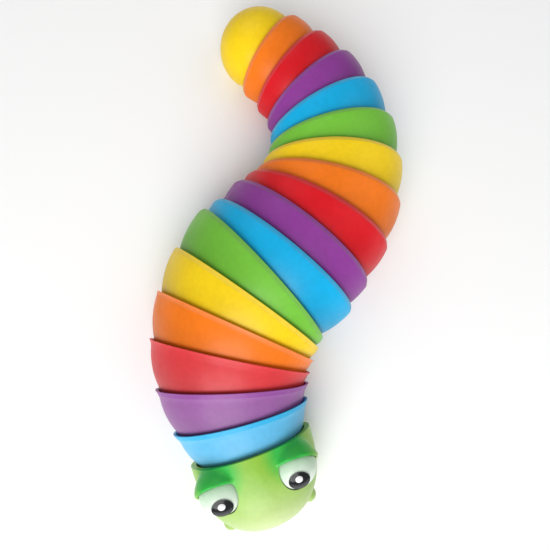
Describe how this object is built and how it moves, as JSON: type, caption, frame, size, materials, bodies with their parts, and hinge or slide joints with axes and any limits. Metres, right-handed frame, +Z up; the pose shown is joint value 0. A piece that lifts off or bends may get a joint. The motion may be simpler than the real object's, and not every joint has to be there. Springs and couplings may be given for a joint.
{
  "type": "jointed slug toy",
  "caption": "Jointed slug fidget toy: a big-eyed head, nested bowl-shaped body segments in rainbow colours and a round tail tip, hinged to bend side to side.",
  "frame": {"origin": "centre of the bounding box's base, on the table under the belly, with the body resting in an S", "axes": "+Z up from the table, +Y from the head towards the tail, +X to the right seen from above with the head nearest"},
  "size_m": [0.0768, 0.158, 0.0333],
  "materials": {
    "head_green": "satin",
    "eye_white": "satin",
    "pupil_black": "gloss",
    "glint_white": "gloss",
    "green": "satin",
    "blue": "satin",
    "purple": "satin",
    "red": "satin",
    "orange": "satin",
    "yellow": "satin"
  },
  "bodies": {
    "head": {"head_shell": "head_green", "left_eyeball": "eye_white", "left_pupil": "pupil_black", "left_eye_glint": "glint_white", "right_eyeball": "eye_white", "right_pupil": "pupil_black", "right_eye_glint": "glint_white"},
    "segment_01": {"segment_01_blue": "blue"},
    "segment_02": {"segment_02_purple": "purple"},
    "segment_03": {"segment_03_red": "red"},
    "segment_04": {"segment_04_orange": "orange"},
    "segment_05": {"segment_05_yellow": "yellow"},
    "segment_06": {"segment_06_green": "green"},
    "segment_07": {"segment_07_blue": "blue"},
    "segment_08": {"segment_08_purple": "purple"},
    "segment_09": {"segment_09_red": "red"},
    "segment_10": {"segment_10_orange": "orange"},
    "segment_11": {"segment_11_yellow": "yellow"},
    "segment_12": {"segment_12_green": "green"},
    "segment_13": {"segment_13_blue": "blue"},
    "segment_14": {"segment_14_purple": "purple"},
    "segment_15": {"segment_15_red": "red"},
    "segment_16": {"segment_16_orange": "orange"},
    "tail_tip": {"tail_tip_yellow": "yellow"}
  },
  "joints": [
    {"name": "hinge_01", "type": "hinge", "parent": "head", "child": "segment_01", "pos_m": [-0.01252, -0.04597, 0.005], "axis": [0, 0, 1], "range_deg": [-11, 19]},
    {"name": "hinge_02", "type": "hinge", "parent": "segment_01", "child": "segment_02", "pos_m": [-0.01445, -0.03759, 0.005], "axis": [0, 0, 1], "range_deg": [-3, 27]},
    {"name": "hinge_03", "type": "hinge", "parent": "segment_02", "child": "segment_03", "pos_m": [-0.0146, -0.02899, 0.005], "axis": [0, 0, 1], "range_deg": [-1, 29]},
    {"name": "hinge_04", "type": "hinge", "parent": "segment_03", "child": "segment_04", "pos_m": [-0.01267, -0.02062, 0.005], "axis": [0, 0, 1], "range_deg": [-3, 27]},
    {"name": "hinge_05", "type": "hinge", "parent": "segment_04", "child": "segment_05", "pos_m": [-0.00903, -0.01282, 0.005], "axis": [0, 0, 1], "range_deg": [-4, 26]},
    {"name": "hinge_06", "type": "hinge", "parent": "segment_05", "child": "segment_06", "pos_m": [-0.00398, -0.00586, 0.005], "axis": [0, 0, 1], "range_deg": [-3, 27]},
    {"name": "hinge_07", "type": "hinge", "parent": "segment_06", "child": "segment_07", "pos_m": [0.0013, -0.00111, 0.005], "axis": [0, 0, 1], "range_deg": [-23, 7]},
    {"name": "hinge_08", "type": "hinge", "parent": "segment_07", "child": "segment_08", "pos_m": [0.0057, 0.00413, 0.005], "axis": [0, 0, 1], "range_deg": [-16, 14]},
    {"name": "hinge_09", "type": "hinge", "parent": "segment_08", "child": "segment_09", "pos_m": [0.01064, 0.01023, 0.005], "axis": [0, 0, 1], "range_deg": [-25, 5]},
    {"name": "hinge_10", "type": "hinge", "parent": "segment_09", "child": "segment_10", "pos_m": [0.01463, 0.01743, 0.005], "axis": [0, 0, 1], "range_deg": [-29, 1]},
    {"name": "hinge_11", "type": "hinge", "parent": "segment_10", "child": "segment_11", "pos_m": [0.0168, 0.02553, 0.005], "axis": [0, 0, 1], "range_deg": [-28, 2]},
    {"name": "hinge_12", "type": "hinge", "parent": "segment_11", "child": "segment_12", "pos_m": [0.0171, 0.03396, 0.005], "axis": [0, 0, 1], "range_deg": [-29, 1]},
    {"name": "hinge_13", "type": "hinge", "parent": "segment_12", "child": "segment_13", "pos_m": [0.01534, 0.04224, 0.005], "axis": [0, 0, 1], "range_deg": [-29, 1]},
    {"name": "hinge_14", "type": "hinge", "parent": "segment_13", "child": "segment_14", "pos_m": [0.01162, 0.04985, 0.005], "axis": [0, 0, 1], "range_deg": [-28, 2]},
    {"name": "hinge_15", "type": "hinge", "parent": "segment_14", "child": "segment_15", "pos_m": [0.00628, 0.05645, 0.005], "axis": [0, 0, 1], "range_deg": [-23, 7]},
    {"name": "hinge_16", "type": "hinge", "parent": "segment_15", "child": "segment_16", "pos_m": [0.00004, 0.06227, 0.005], "axis": [0, 0, 1], "range_deg": [-21, 9]},
    {"name": "hinge_17", "type": "hinge", "parent": "segment_16", "child": "tail_tip", "pos_m": [-0.00515, 0.06618, 0.005], "axis": [0, 0, 1], "range_deg": [-20, 10]}
  ]
}
